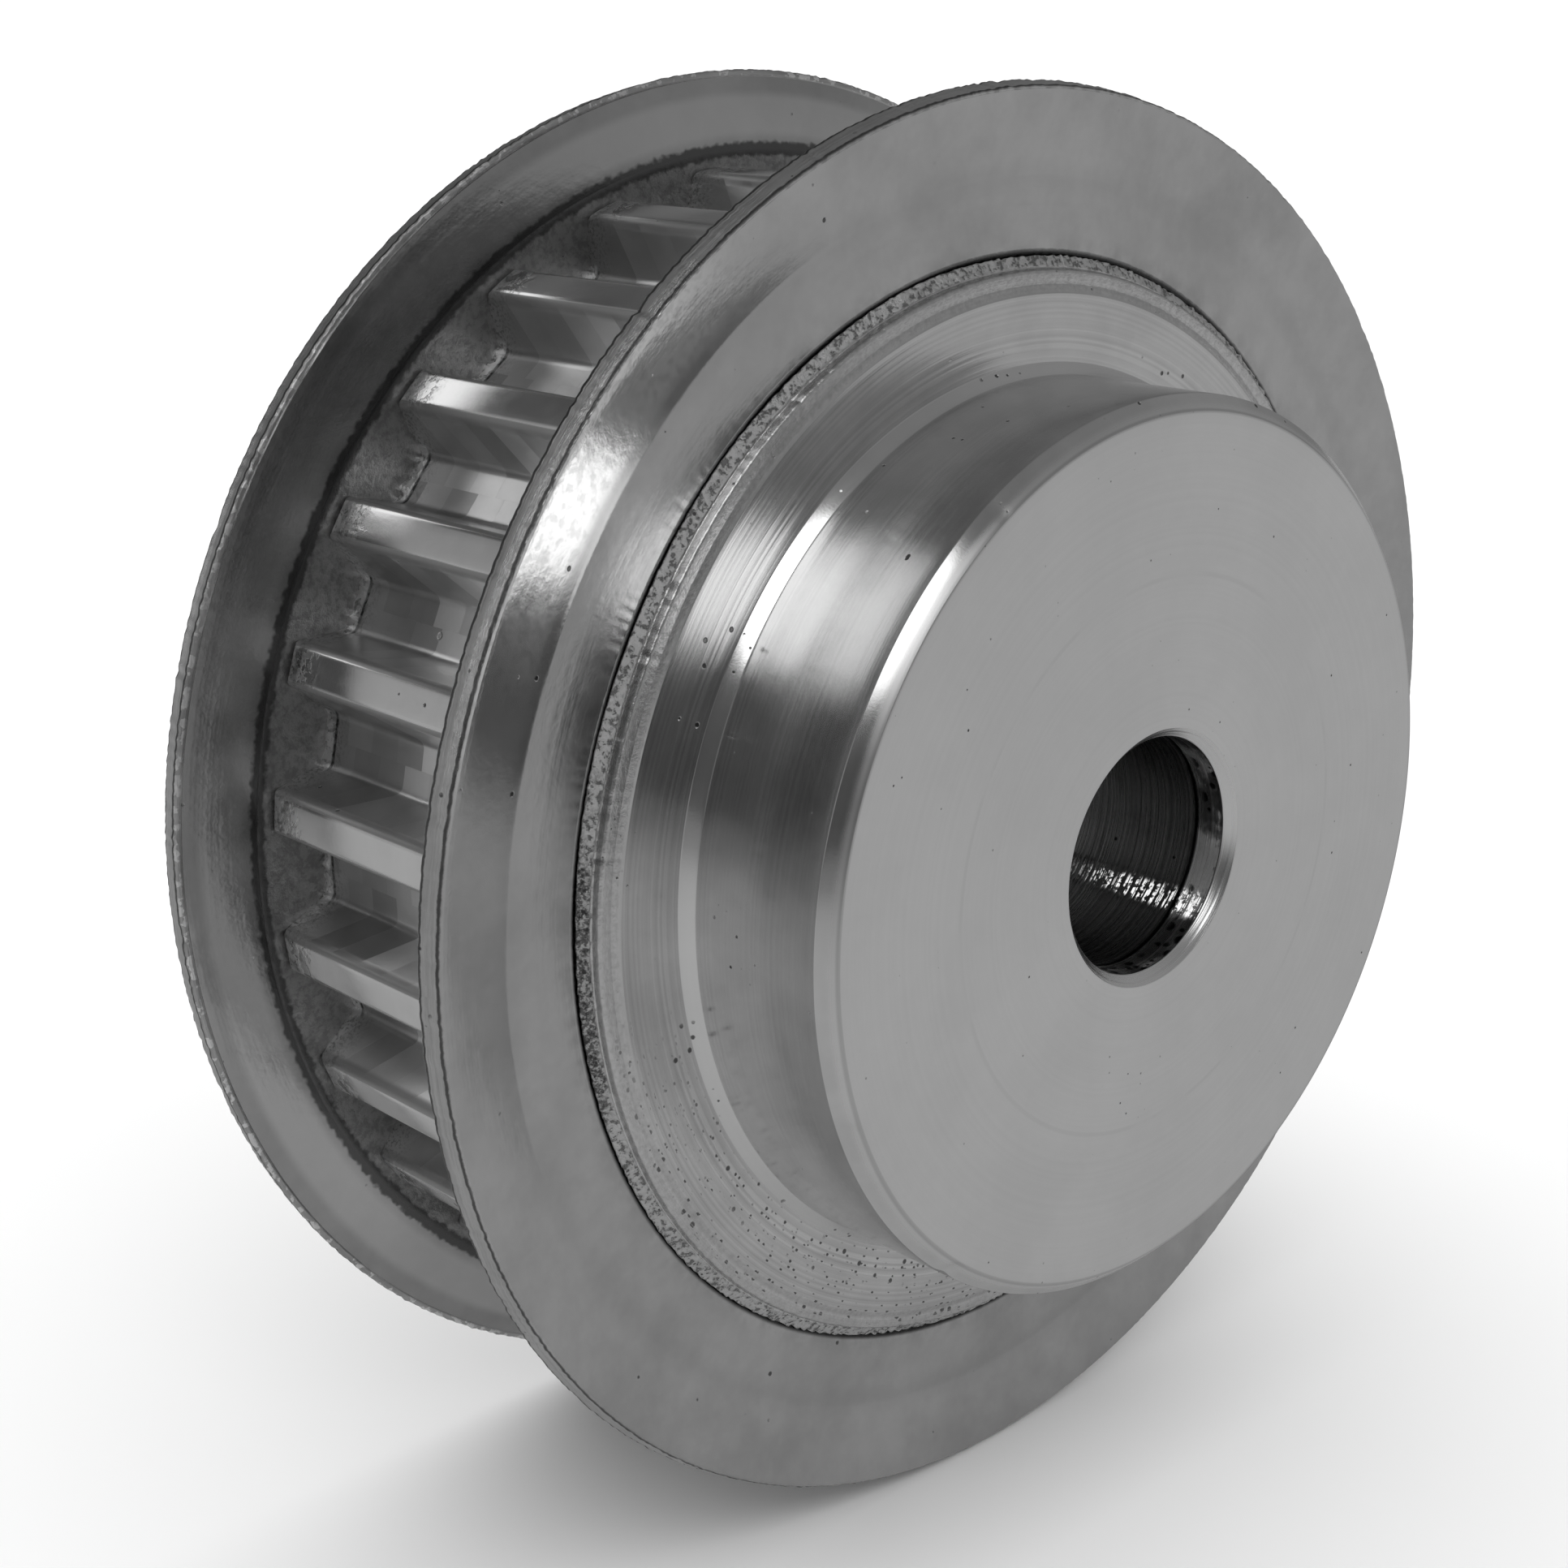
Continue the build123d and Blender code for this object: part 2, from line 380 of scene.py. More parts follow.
# ---- Materials ----
class Graph:
    """A metal's node tree, in millimetres, with one short call for each kind of node."""

    def __init__(self, name):
        self.material = bpy.data.materials.new(name)
        self.material.use_nodes = True
        self.tree = self.material.node_tree
        self.shader = self.tree.nodes["Principled BSDF"]
        place = self.node("ShaderNodeTexCoord").outputs["Object"]
        self.mm = self.vector("SCALE", place, scale=1 / MM)
        self.radius = self.vector("LENGTH", self.vector("MULTIPLY", self.mm, (1, 0, 1)))
        parts = self.node("ShaderNodeSeparateXYZ", Vector=self.mm)
        self.x, self.y, self.z = (parts.outputs[axis] for axis in "XYZ")

    def node(self, kind, settings=None, **inputs):
        made = self.tree.nodes.new(kind)
        for key, value in (settings or {}).items():
            setattr(made, key, value)
        for key, value in inputs.items():
            self.put(made.inputs[key.replace("_", " ")], value)
        return made

    def put(self, socket, value):
        if isinstance(value, bpy.types.NodeSocket):
            self.tree.links.new(value, socket)
        else:
            socket.default_value = value

    def math(self, operation, *values):
        made = self.node("ShaderNodeMath", {"operation": operation})
        for socket, value in zip(made.inputs, values):
            self.put(socket, value)
        return made.outputs[0]

    def times(self, first, *others):
        """The product of the numbers."""
        for other in others:
            first = self.math("MULTIPLY", first, other)
        return first

    def most(self, first, *others):
        """The largest of the numbers."""
        for other in others:
            first = self.math("MAXIMUM", first, other)
        return first

    def varied(self, value, noise, amount):
        """The value, moved up and down by noise that runs from 0 to 1."""
        return self.math("MULTIPLY_ADD", self.math("SUBTRACT", noise, 0.5), amount, value)

    def mix(self, amount, first, second):
        """first where amount is 0, second where it's 1; all are single numbers."""
        gap = self.math("SUBTRACT", second, first)
        return self.math("MULTIPLY_ADD", gap, amount, first)

    def layered(self, value, layers):
        """The value with layers over it, lowest first: each is (amount, new value)."""
        for amount, new in layers:
            value = self.mix(amount, value, new)
        return value

    def vector(self, operation, first, second=None, scale=None):
        made = self.node("ShaderNodeVectorMath", {"operation": operation})
        self.put(made.inputs[0], first)
        if second is not None:
            self.put(made.inputs[1], second)
        if scale is not None:
            made.inputs["Scale"].default_value = scale
        return made.outputs["Value" if operation == "LENGTH" else "Vector"]

    def noise(self, place, scale, detail=3.0, roughness=0.55):
        """Smooth noise from 0 to 1; scale is in features for each millimetre."""
        made = self.node("ShaderNodeTexNoise", Vector=place, Scale=scale, Detail=detail)
        made.inputs["Roughness"].default_value = roughness
        return made.outputs[0]

    def line_noise(self, place, scale):
        """Noise along one number, such as the distance across a turned surface."""
        settings = {"noise_dimensions": "1D"}
        made = self.node("ShaderNodeTexNoise", settings, W=place, Scale=scale, Detail=2.0)
        made.inputs["Roughness"].default_value = 0.6
        return made.outputs[0]

    def ramp(self, value, low, high, start=0.0, end=1.0):
        """A smooth step: start where the value is at low, end where it is at high."""
        made = self.node("ShaderNodeMapRange", {"interpolation_type": "SMOOTHSTEP"})
        sockets = ("Value", "From Min", "From Max", "To Min", "To Max")
        for key, number in zip(sockets, (value, low, high, start, end)):
            self.put(made.inputs[key], number)
        return made.outputs[0]

    def band(self, value, middle, half, fade):
        """1 within half of the middle value, fading to 0 over the next stretch."""
        away = self.math("ABSOLUTE", self.math("SUBTRACT", value, middle))
        return self.ramp(away, half, half + fade, 1.0, 0.0)

    def turn(self):
        """The angle round the axis, in radians from +X towards +Z."""
        return self.math("ARCTAN2", self.z, self.x)

    def specks(self, scale, size, share):
        """Small round marks: 1 inside a speck and 0 between them."""
        cells = self.node("ShaderNodeTexVoronoi", Vector=self.mm, Scale=scale, Randomness=1.0)
        chosen = self.node("ShaderNodeSeparateXYZ", Vector=cells.outputs["Color"])
        picked = self.math("LESS_THAN", chosen.outputs["X"], share)
        wide = self.math("MULTIPLY", chosen.outputs["Y"], size)
        away = self.math("DIVIDE", cells.outputs["Distance"], wide)
        return self.times(self.ramp(away, 0.6, 1.0, 1.0, 0.0), picked)

    def facets(self, place, width, row):
        """A cutter's flat steps: the height, the tilt and the place of the step at a point."""
        cell = self.math("DIVIDE", place, width)
        number = self.math("FLOOR", cell)
        label = self.math("MULTIPLY_ADD", row, 31.0, number)
        random = self.node("ShaderNodeTexWhiteNoise", {"noise_dimensions": "1D"}, W=label)
        tilt = self.math("SUBTRACT", random.outputs["Value"], 0.5)
        across = self.math("SUBTRACT", self.math("FRACT", cell), 0.5)
        return self.times(across, tilt), tilt, self.times(number, width)

    def leaning(self, amount):
        """The surface's normal, tipped along the axis by the amount at each point."""
        surface = self.node("ShaderNodeNewGeometry").outputs["Normal"]
        tip = self.node("ShaderNodeCombineXYZ", Y=amount).outputs[0]
        return self.vector("NORMALIZE", self.vector("ADD", surface, tip))

    def bumped(self, layers, normal=None):
        """The normal with bumps over it, lowest first: each is (height, depth in mm)."""
        for height, depth in layers:
            made = self.node("ShaderNodeBump", Height=height, Distance=depth * MM)
            if normal is not None:
                self.put(made.inputs["Normal"], normal)
            normal = made.outputs[0]
        return normal

    def grey(self, value):
        return self.node("ShaderNodeCombineColor", Red=value, Green=value, Blue=value).outputs[0]

    def finish(self, tone, roughness, normal):
        """The finished material: bare metal of that tone, roughness and normal."""
        self.put(self.shader.inputs["Base Color"], self.grey(tone))
        self.put(self.shader.inputs["Roughness"], roughness)
        self.put(self.shader.inputs["Normal"], normal)
        self.shader.inputs["Metallic"].default_value = 1.0
        return self.material

    def brush_round_axis(self, amount):
        """Stretch the highlights across the lathe's lines."""
        self.shader.inputs["Anisotropic"].default_value = amount
        self.shader.inputs["Anisotropic Rotation"].default_value = 0.25
        tangent = self.node("ShaderNodeTangent", {"direction_type": "RADIAL", "axis": "Y"})
        self.put(self.shader.inputs["Tangent"], tangent.outputs[0])


def turned_noises(g):
    """The lathe's lines, clouds, grain and torn metal that the turned surfaces share."""
    wobble = g.noise(g.mm, scale=0.08, detail=1.0)
    across = g.math("MULTIPLY_ADD", g.y, -1.37, g.radius)
    across = g.math("MULTIPLY_ADD", wobble, 0.25, across)
    dull = g.noise(g.mm, scale=0.26, detail=3.0, roughness=0.6)
    return SimpleNamespace(
        fine=g.line_noise(across, scale=5.5),
        broad=g.line_noise(across, scale=1.3),
        cloud=g.noise(g.mm, scale=0.22, detail=5.0, roughness=0.6),
        grain=g.noise(g.mm, scale=14.0, detail=2.0),
        patches=g.ramp(dull, 0.50, 0.62),
        torn=g.noise(g.mm, scale=5.0, detail=5.0, roughness=0.7),
    )


def turned_places(g):
    """How far each point is on the hub's face, a collar, its lip, the skirt or the root."""
    to_collar = g.ramp(g.radius, HUB_RADIUS, HUB_RADIUS + 0.4)
    on_collar = g.times(to_collar, g.ramp(g.radius, LIP_RADIUS + 0.05, LIP_RADIUS - 0.25))
    crimped = g.ramp(g.radius, CRIMP_END - 0.1, CRIMP_END, 1.0, 0.0)
    at_root = g.ramp(g.y, -8.05, -7.95)
    return SimpleNamespace(
        face=g.ramp(g.y, HUB_FACE + 0.3, HUB_FACE + 0.1),
        collar=on_collar,
        low_collar=g.times(on_collar, g.ramp(g.z, 0.0, -9.0)),
        lip=g.times(g.ramp(g.radius, LIP_INNER, LIP_INNER + 0.15), crimped),
        skirt=g.times(g.ramp(g.radius, LIP_RADIUS + 0.05, LIP_RADIUS + 0.11), crimped),
        root=g.times(g.band(g.radius, 15.20, half=0.16, fade=0.05), at_root),
    )


def turned_marks(g, noises, places):
    """Pits: a few anywhere, and more in the dull patches, on the lip and at the root."""
    scattered = g.specks(scale=1.3, size=0.14, share=0.08)
    in_patches = g.times(g.specks(scale=3.0, size=0.24, share=0.16), noises.patches)
    on_lip = g.times(g.specks(scale=3.2, size=0.26, share=0.20), places.lip)
    in_rows = g.times(g.specks(scale=4.2, size=0.55, share=0.85), g.ramp(noises.fine, 0.50, 0.56))
    hammered = g.times(
        g.specks(scale=2.8, size=0.30, share=0.5),
        g.ramp(g.noise(g.mm, scale=0.3, detail=2.0), 0.52, 0.58),
        g.band(g.radius, 15.9, half=0.6, fade=0.6),
        g.ramp(g.y, -8.1, -7.9),
    )
    torn = g.times(g.ramp(noises.torn, 0.40, 0.48, 0.75, 0.0), places.skirt)
    pits = g.most(scattered, in_patches)
    return pits, g.most(pits, on_lip, g.times(in_rows, places.low_collar), hammered, torn)


def turned_tone(g, noises, places, marked, lines):
    cloud = noises.cloud
    off_face = g.math("SUBTRACT", 1.0, places.face)
    edge = g.band(g.radius, HUB_RADIUS - HUB_CHAMFER, half=0.03, fade=0.07)
    old_ring = g.band(g.radius, 9.35, half=0.03, fade=0.09)
    old_ring = g.times(old_ring, g.ramp(cloud, 0.42, 0.55, 0.0, 0.08))
    face_rings = g.times(g.most(g.times(edge, 0.35), old_ring), places.face)
    # Painted shade: the skirt is darkened raggedly on its left side, standing in for a dark reflection
    # there.
    to_the_left = g.math("MULTIPLY_ADD", g.noise(g.mm, scale=0.5, detail=3.0), 3.0, g.x)
    left_shade = g.noise(g.mm, scale=8.0, detail=4.0, roughness=0.7)
    left_shade = g.times(g.ramp(to_the_left, -16.2, -16.9), places.skirt, g.ramp(left_shade, 0.46, 0.56, 0.8, 0.15))
    body = g.ramp(cloud, 0.3, 0.7, 0.72, 0.84)
    tone = g.mix(places.face, body, g.ramp(cloud, 0.3, 0.7, 0.80, 0.86))
    line_depth = g.math("MULTIPLY_ADD", places.low_collar, 0.22, g.times(lines, 0.35))
    return g.layered(g.varied(tone, noises.fine, line_depth), [
        (g.times(noises.patches, off_face, 0.10), 0.4),
        (g.times(places.collar, 0.12), 0.3),
        (g.times(g.most(places.root, places.skirt), 0.6), 0.97),
        (marked, 0.15),
        (face_rings, 0.3),
        (g.times(places.lip, g.ramp(noises.torn, 0.35, 0.6, 0.25, 0.0)), 0.3),
        (left_shade, 0.05),
    ])


def turned_aluminium():
    """The turned surfaces: hub, collars, their rolled lips and the rear face."""
    g = Graph("Turned_aluminium")
    noises, places = turned_noises(g), turned_places(g)
    pits, marked = turned_marks(g, noises, places)
    lines = g.mix(places.face, g.mix(places.collar, 0.25, 1.0), 0.12)
    tone = turned_tone(g, noises, places, marked, lines)
    roughness = g.varied(g.ramp(noises.cloud, 0.3, 0.7, 0.16, 0.22), noises.fine, 0.08)
    roughness = g.layered(roughness, [
        (places.face, g.ramp(noises.cloud, 0.3, 0.7, 0.33, 0.38)),
        (g.most(pits, g.times(places.skirt, 0.8)), 0.45),
    ])
    torn_lip = g.mix(places.skirt, g.times(places.lip, 0.25), 1.0)
    normal = g.bumped([
        (g.times(noises.fine, lines), 0.005),
        (g.times(noises.broad, lines), 0.009),
        (noises.grain, 0.0006),
        (g.times(noises.torn, torn_lip), 0.09),
        (g.times(marked, -1.0), 0.02),
    ])
    g.brush_round_axis(0.35)
    return g.finish(tone, roughness, normal)


def bored_aluminium():
    """The bore: dark cut metal, a smeared mouth, a step and one scored strip whose brightened colour is a
    painted highlight.
    """
    g = Graph("Bored_aluminium")
    along = g.math("MULTIPLY_ADD", g.noise(g.mm, scale=0.4, detail=1.0), 0.15, g.y)
    fine = g.line_noise(along, scale=7.0)
    broad = g.line_noise(along, scale=1.6)
    broken = g.noise(g.mm, scale=5.0, detail=4.0, roughness=0.7)
    smear = g.noise(g.mm, scale=0.7, detail=4.0, roughness=0.6)
    depth = g.math("SUBTRACT", g.y, HUB_FACE)
    mouth = g.math("LESS_THAN", depth, BORE_STEP)
    chamfer = g.ramp(depth, BORE_CHAMFER, BORE_CHAMFER + 0.07, 1.0, 0.0)
    mouth_pits = g.times(g.specks(scale=2.6, size=0.8, share=0.6), g.ramp(depth, 1.0, 1.3, 1.0, 0.0))
    # A scored strip at the angle where the key light reflects: its normal leans, and its colour is
    # brightened as a painted highlight.
    scored_highlight = g.times(
        g.band(g.turn(), -0.70, half=0.04, fade=0.13),
        g.ramp(broken, 0.45, 0.53),
        g.ramp(fine, 0.45, 0.53),
        g.ramp(depth, 2.0, 9.0, 1.0, 0.45),
    )
    tone = g.layered(g.ramp(fine, 0.3, 0.7, 0.42, 0.54), [
        (g.ramp(smear, 0.5, 0.75, 0.0, 0.4), 0.2),
        (mouth, 0.62),
        (g.most(mouth_pits, g.specks(scale=1.6, size=0.14, share=0.12)), 0.04),
        (g.most(chamfer, scored_highlight), 0.88),
        (g.band(depth, BORE_STEP, half=0.04, fade=0.06), 0.02),
    ])
    roughness = g.mix(scored_highlight, g.ramp(fine, 0.3, 0.7, 0.20, 0.30), 0.30)
    mouth_lean = g.times(mouth, g.ramp(smear, 0.35, 0.6, -0.10, -0.34))
    lean = g.times(g.mix(scored_highlight, mouth_lean, -0.9), g.math("SUBTRACT", 1.0, chamfer))
    bumps = [(broad, 0.008), (g.times(fine, g.mix(chamfer, 0.4, 1.0)), 0.02)]
    return g.finish(tone, roughness, g.bumped(bumps, g.leaning(lean)))


def milled_places(g, worn):
    """How far each point is milled, near an end or edge, or in a burr."""
    groove_mouth = g.ramp(g.radius, TIP_RADIUS - 0.5, TIP_RADIUS - 0.1)
    rear = g.ramp(g.y, TOOTH_END - 2.2, TOOTH_END - 0.2)
    edge = g.ramp(g.radius, 21.03, 21.05, 1.0, 0.0)
    return SimpleNamespace(
        milled=g.ramp(g.radius, TIP_RADIUS - 0.4, TIP_RADIUS - 0.15, 1.0, 0.0),
        end=g.ramp(g.math("ABSOLUTE", g.y), TOOTH_END - 1.6, TOOTH_END - 0.1),
        edge=g.times(g.ramp(g.radius, 20.6, 20.8), edge),
        burr=g.times(rear, groove_mouth, g.ramp(worn, 0.44, 0.56)),
        floor_burr=g.times(
            g.ramp(g.radius, 19.6, 19.4), g.ramp(g.y, 5.42, 5.5), g.ramp(worn, 0.44, 0.52)
        ),
        floor_crack=g.times(
            g.ramp(g.radius, 19.35, 19.2),
            g.band(g.y, 5.38, half=0.04, fade=0.05),
            g.ramp(worn, 0.4, 0.55, 0.95, 0.4),
        ),
    )


def cutter_steps(g):
    """The slanted steps of the cutter, set differently on each side of each groove."""
    turned = g.math("SUBTRACT", g.turn(), FIRST_GROOVE)
    side = g.math("FLOOR", g.times(turned, TOOTH_COUNT / math.pi))
    shift = g.math("FRACT", g.times(side, 0.37))
    place = g.math("MULTIPLY_ADD", shift, CUTTER_STEP, g.y)
    height = g.math("SUBTRACT", g.radius, ROOT_RADIUS)
    place = g.math("MULTIPLY_ADD", height, CUTTER_SLANT, place)
    return g.facets(place, CUTTER_STEP, side)


def milled_aluminium():
    """The teeth: bright worn lands, and grooves with the cutter's flat steps."""
    g = Graph("Milled_aluminium")
    cloud = g.noise(g.mm, scale=0.5, detail=4.0, roughness=0.6)
    grain = g.noise(g.mm, scale=9.0, detail=3.0, roughness=0.6)
    worn = g.noise(g.mm, scale=2.4, detail=4.0, roughness=0.65)
    places = milled_places(g, worn)
    step, tilt, stepped = cutter_steps(g)
    pits = g.specks(scale=1.5, size=0.16, share=0.12)
    glints = g.specks(scale=0.8, size=0.12, share=0.05)
    tone = g.ramp(cloud, 0.3, 0.7, 0.76, 0.84)
    # Painted shade: each facet's colour is lighter or darker with its tilt. The grooves also grow lighter
    # towards the hub and darker towards the rear flange, step by step.
    tone = g.math("MULTIPLY_ADD", g.times(tilt, places.milled), 0.24, tone)
    tone = g.times(tone, g.mix(places.milled, 1.0, g.ramp(stepped, -4.5, 5.0, 1.24, 0.72)))
    tone = g.layered(tone, [
        (g.times(g.ramp(grain, 0.5, 0.62), places.end), 0.35),
        (pits, 0.2),
        (g.most(glints, g.times(places.burr, 0.6)), 0.97),
        (g.times(places.edge, 0.6), 0.3),
        (places.floor_burr, 0.97),
        (places.floor_crack, 0.04),
    ])
    roughness = g.layered(g.ramp(cloud, 0.35, 0.65, 0.16, 0.22), [
        (places.milled, 0.30),
        (g.most(places.burr, g.times(places.end, 0.5)), 0.42),
        (places.edge, 0.55),
    ])
    normal = g.bumped([
        (g.times(step, places.milled), 0.11),
        (g.times(worn, g.most(places.end, places.burr)), 0.05),
        (grain, 0.0015),
        (g.times(g.most(pits, glints), -1.0), 0.03),
    ])
    return g.finish(tone, roughness, normal)


def sheet_noises(g, shift):
    """Clouds, mottle and grain in the zinc, shifted so that the two flanges differ."""
    place = g.vector("ADD", g.mm, (shift, 2 * shift, -shift))
    cloud = g.noise(place, scale=0.16, detail=6.0, roughness=0.62)
    round_rim = g.times(g.turn(), 6.0)
    sheared = g.node("ShaderNodeCombineXYZ", X=round_rim, Y=g.times(g.y, 9.0)).outputs[0]
    return SimpleNamespace(
        cloud=cloud,
        mottle=g.noise(place, scale=0.9, detail=4.0, roughness=0.6),
        peel=g.noise(place, scale=3.2, detail=2.0, roughness=0.5),
        crust=g.noise(place, scale=3.4, detail=5.0, roughness=0.7),
        grain=g.noise(place, scale=13.0, detail=2.0),
        rings=g.line_noise(g.math("MULTIPLY_ADD", cloud, 0.4, g.radius), scale=2.4),
        sheared=g.noise(sheared, scale=1.0, detail=5.0, roughness=0.7),
    )


def sheet_places(g, side, noises):
    """How far each point is on the belt side, near the hole or a bend, or on the rim."""
    outward = g.times(g.y, side)
    belt_side = g.times(g.ramp(outward, 6.55, 6.35), g.ramp(g.radius, 23.6, 23.2))
    jagged = g.varied(g.radius, noises.peel, 0.35)
    # Painted highlight: a brighter, glossier patch on the front lip's upper left, where the key light
    # reflects.
    highlight_patch = g.times(
        g.band(g.turn(), 2.52, half=0.18, fade=0.28),
        g.ramp(g.radius, 21.5, 21.9),
        g.ramp(outward, 6.8, 7.0),
        g.ramp(noises.peel, 0.35, 0.55, 0.6, 1.0),
    )
    wavy = g.varied(outward, noises.crust, 0.10)
    rim = g.ramp(g.radius, 23.98, 24.08)
    rim_edges = g.most(g.band(wavy, 6.60, half=0.03, fade=0.04), g.band(wavy, 7.27, half=0.03, fade=0.05))
    glinting = g.times(g.band(wavy, 6.50, half=0.03, fade=0.03), g.ramp(noises.peel, 0.52, 0.58))
    return SimpleNamespace(
        belt_lip=g.times(belt_side, g.ramp(g.radius, 21.8, 22.2, 0.0, 0.45)),
        shaded_inner_flat=g.times(belt_side, g.ramp(g.radius, 21.6, 21.4)),
        inner_bend=g.times(g.band(jagged, 21.55, half=0.16, fade=0.16), belt_side),
        shaded_lip=g.times(g.ramp(outward, 7.2, 6.4), g.ramp(g.radius, 22.0, 24.1, 0.0, 0.12)),
        hole_shade=g.ramp(g.radius, 18.7, 19.7, 1.0, 0.0),
        rolled=g.ramp(g.radius, 18.85, CRIMP_END, 1.0, 0.0),
        near_bend=g.band(g.radius, 21.3, half=0.1, fade=0.6),
        highlight_patch=highlight_patch,
        rim=rim,
        rim_edges=g.times(rim_edges, rim),
        glints=g.times(glinting, rim),
    )


def sheet_tone(g, noises, places, pits):
    tone = g.varied(g.ramp(noises.cloud, 0.32, 0.68, 0.50, 0.61), noises.mottle, 0.14)
    return g.layered(tone, [
        # Painted shade: the flat darkens, mottled, towards the hole.
        (g.times(places.hole_shade, g.ramp(noises.mottle, 0.35, 0.65, 0.4, 0.0)), 0.3),
        # Painted shade: a near-black ring in the crevice where the collar's skirt meets the flange.
        (g.times(places.rolled, 0.95), 0.03),
        (g.times(places.near_bend, 0.12), 0.35),
        (places.shaded_lip, 0.15),
        (places.belt_lip, 0.85),
        (places.highlight_patch, 0.93),
        (g.times(places.rim, g.ramp(noises.sheared, 0.35, 0.65, 0.0, 0.45)), 0.85),
        # Painted shade: the belt side's flat is darkened, mottled by the crust noise.
        (g.times(places.shaded_inner_flat, g.ramp(noises.crust, 0.38, 0.58, 0.55, 0.25)), 0.12),
        (g.times(places.inner_bend, 0.85), 0.08),
        (pits, 0.14),
        (g.times(places.rim_edges, 0.85), 0.05),
        (places.glints, 0.97),
    ])


def zinc_plated_steel(name, side, shift):
    """A flange's pressed sheet: soft clouded zinc, darkened inside by painted shade, sheared at the rim.
    """
    g = Graph(name)
    noises = sheet_noises(g, shift)
    places = sheet_places(g, side, noises)
    in_patches = g.times(g.specks(scale=2.6, size=0.24, share=0.22), g.ramp(noises.mottle, 0.54, 0.66))
    pits = g.most(g.specks(scale=0.9, size=0.11, share=0.16), in_patches)
    tone = sheet_tone(g, noises, places, pits)
    roughness = g.varied(g.ramp(noises.cloud, 0.3, 0.7, 0.15, 0.22), noises.mottle, 0.10)
    roughness = g.layered(roughness, [
        (g.most(places.shaded_inner_flat, places.rim), 0.38),
        (places.highlight_patch, 0.12),
    ])
    normal = g.bumped([
        (noises.peel, 0.003),
        (noises.mottle, 0.008),
        (noises.rings, 0.003),
        (g.times(noises.crust, g.most(places.rolled, places.shaded_inner_flat)), 0.04),
        (g.times(noises.sheared, places.rim), 0.06),
        (noises.grain, 0.0008),
        (g.times(pits, -1.0), 0.015),
    ])
    return g.finish(tone, roughness, normal)


# ---- Stage: floor, surroundings, lights and camera ----
FLOOR_WIDTH = 40.0
SEEN_WALL = (0.96, 0.96, 0.96, 1)
VIEW_ANGLE = math.radians(34.26)
SENSOR_WIDTH = 36.0
CAMERA_PLACE = Vector((-62.48, -61.83, 27.20)) * MM
CAMERA_RIGHT = Vector((0.7257, -0.6880, 0))
CAMERA_FORWARD = Vector((0.6561, 0.6920, -0.3012))

# Soft patches of the room: the direction, where the patch fades in and is full (as the
# cosine of the angle away from it), and the light it adds at those two.
ROOM_PATCHES = (
    ((0, 0, 1), -1.0, 1.0, 0.18, 0.20),
    ((0.80, -0.55, 0.05), 0.4, 1.0, 0.0, 0.12),
    ((-0.66, -0.74, 0.08), 0.72, 0.97, 0.0, -0.11),
    ((-0.05, 0.92, 0.40), 0.7, 0.97, 0.0, -0.10),
    ((-0.70, 0.70, 0.10), 0.72, 0.97, 0.0, 0.27),
)


def pale_floor():
    """A pale floor. The metal reflects it darker, and brightest under and behind the part."""
    bpy.ops.mesh.primitive_plane_add(size=FLOOR_WIDTH, location=(0, 0, FLOOR_Z))
    floor = bpy.context.object
    floor.name = "Floor"
    g = Graph("Pale_floor")
    cloud = g.noise(g.mm, scale=0.02, detail=2.0)
    seen = g.node("ShaderNodeLightPath").outputs["Is Camera Ray"]
    tone = g.mix(seen, 0.15, g.ramp(cloud, 0.3, 0.7, 0.90, 0.92))
    g.put(g.shader.inputs["Base Color"], g.grey(tone))
    g.shader.inputs["Roughness"].default_value = 0.9
    g.shader.inputs["Specular IOR Level"].default_value = 0.1
    g.put(g.shader.inputs["Emission Color"], (1, 1, 1, 1))
    frontward = g.times(g.math("ADD", g.x, g.y), -math.sqrt(0.5))
    glow = g.ramp(frontward, 60, 320, 0.22, 0.0)
    g.put(g.shader.inputs["Emission Strength"], g.mix(seen, glow, 0.0))
    floor.data.materials.append(g.material)


def room_light(tree):
    """The light that the metal reflects from each direction: the sum of the patches."""
    add, link = tree.nodes.new, tree.links.new
    place = add("ShaderNodeTexCoord").outputs["Generated"]
    total = None
    for direction, *numbers in ROOM_PATCHES:
        dot = add("ShaderNodeVectorMath")
        dot.operation = "DOT_PRODUCT"
        dot.inputs[1].default_value = Vector(direction).normalized()
        link(place, dot.inputs[0])
        spread = add("ShaderNodeMapRange")
        spread.interpolation_type = "SMOOTHSTEP"
        for key, number in zip(("From Min", "From Max", "To Min", "To Max"), numbers):
            spread.inputs[key].default_value = number
        link(dot.outputs["Value"], spread.inputs["Value"])
        if total is None:
            total = spread.outputs[0]
            continue
        joined = add("ShaderNodeMath")
        link(total, joined.inputs[0])
        link(spread.outputs[0], joined.inputs[1])
        total = joined.outputs[0]
    return total


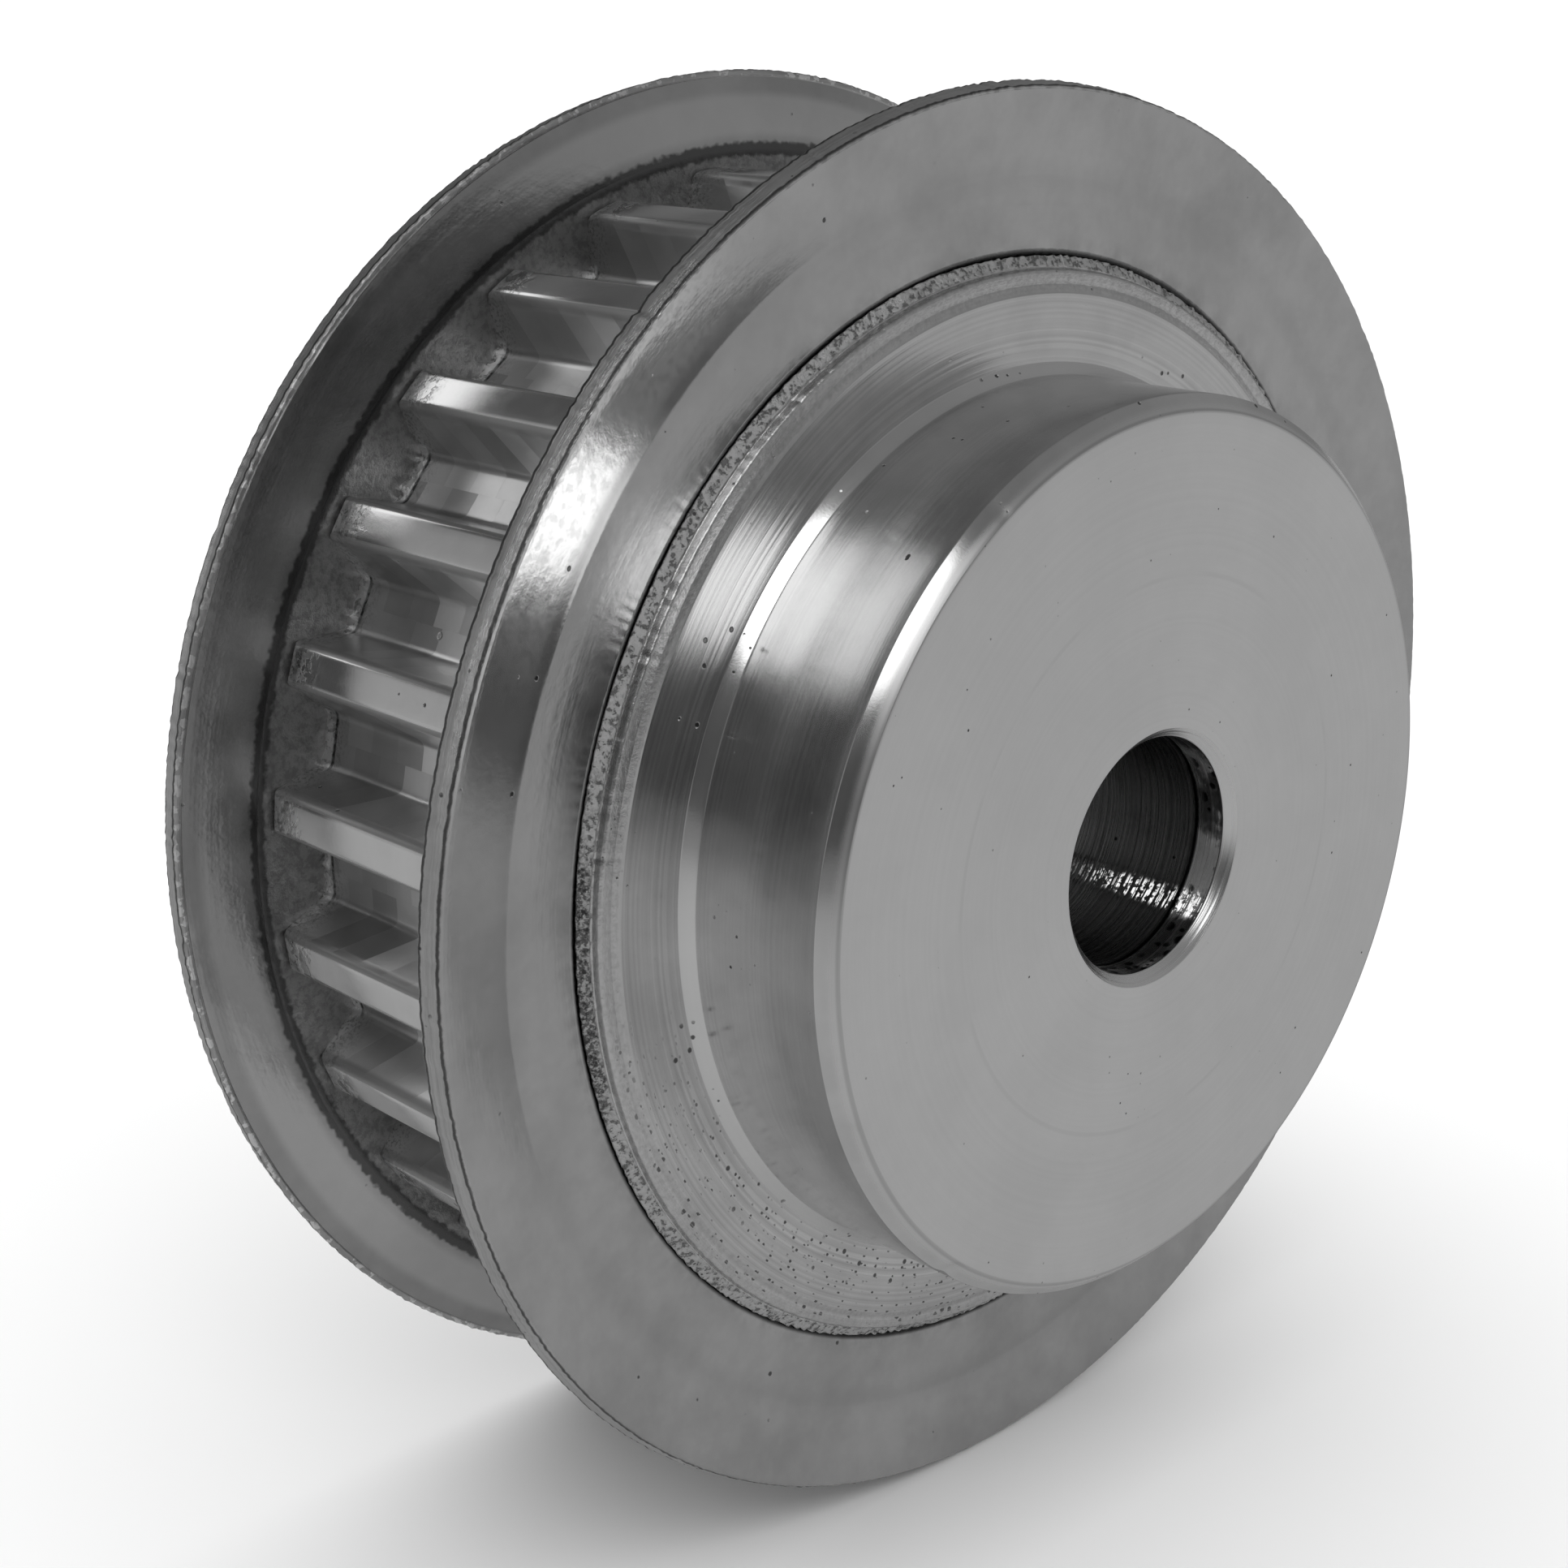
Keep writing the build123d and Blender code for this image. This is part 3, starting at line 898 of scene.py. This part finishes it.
def surroundings():
    """A grey room: near white to the camera, uneven in the metal's reflections."""
    world = bpy.data.worlds.new("Studio")
    bpy.context.scene.world = world
    world.use_nodes = True
    tree = world.node_tree
    tree.nodes.clear()
    add, link = tree.nodes.new, tree.links.new
    reflected, seen = add("ShaderNodeBackground"), add("ShaderNodeBackground")
    link(room_light(tree), reflected.inputs["Strength"])
    seen.inputs["Color"].default_value = SEEN_WALL
    both = add("ShaderNodeMixShader")
    link(add("ShaderNodeLightPath").outputs["Is Camera Ray"], both.inputs[0])
    link(reflected.outputs[0], both.inputs[1])
    link(seen.outputs[0], both.inputs[2])
    link(both.outputs[0], add("ShaderNodeOutputWorld").inputs[0])


def soft_light(name, direction, width, strength, glossy=True):
    """A large distant soft light that looks width degrees across from the object."""
    data = bpy.data.lights.new(name, "SUN")
    data.angle = math.radians(width)
    data.energy = strength
    light = bpy.data.objects.new(name, data)
    bpy.context.scene.collection.objects.link(light)
    light.location = Vector(direction).normalized() * 0.5
    light.rotation_euler = (-light.location).to_track_quat("-Z", "Y").to_euler()
    light.visible_glossy = glossy
    light.visible_camera = False


def camera():
    """The camera, near the hub's side and a little above it, as in the photograph."""
    data = bpy.data.cameras.new("Camera")
    data.sensor_width = SENSOR_WIDTH
    data.lens = SENSOR_WIDTH / 2 / math.tan(VIEW_ANGLE / 2)
    data.clip_start = 0.005
    made = bpy.data.objects.new("Camera", data)
    up = CAMERA_RIGHT.cross(CAMERA_FORWARD)
    axes = (CAMERA_RIGHT.normalized(), up.normalized(), -CAMERA_FORWARD.normalized())
    made.matrix_world = Matrix.Translation(CAMERA_PLACE) @ Matrix(axes).transposed().to_4x4()
    bpy.context.scene.collection.objects.link(made)
    bpy.context.scene.camera = made


# ---- Assembly ----
def place_piece(piece, node):
    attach(piece, "root")
    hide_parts(node)


def build_pulley():
    body = build_body()
    for material in (turned_aluminium, bored_aluminium, milled_aluminium):
        body.data.materials.append(material())
    place_piece(body, "toothed_body")
    for name, side, seed in (("Hub_side_flange", -1, 10), ("Rear_flange", 1, 20)):
        flange = build_flange(name, side, seed)
        flange.data.materials.append(zinc_plated_steel(name + "_zinc", side, 3.1 * seed))
        place_piece(flange, name.lower())


build_pulley()
pale_floor()
surroundings()
soft_light("Key", (-0.40, -0.58, 0.71), width=34, strength=0.42)
soft_light("Top", (0.1, 0.1, 1.0), width=120, strength=3.0, glossy=False)
camera()
bpy.context.scene.view_settings.view_transform = "Standard"
bpy.context.scene.view_settings.look = "None"
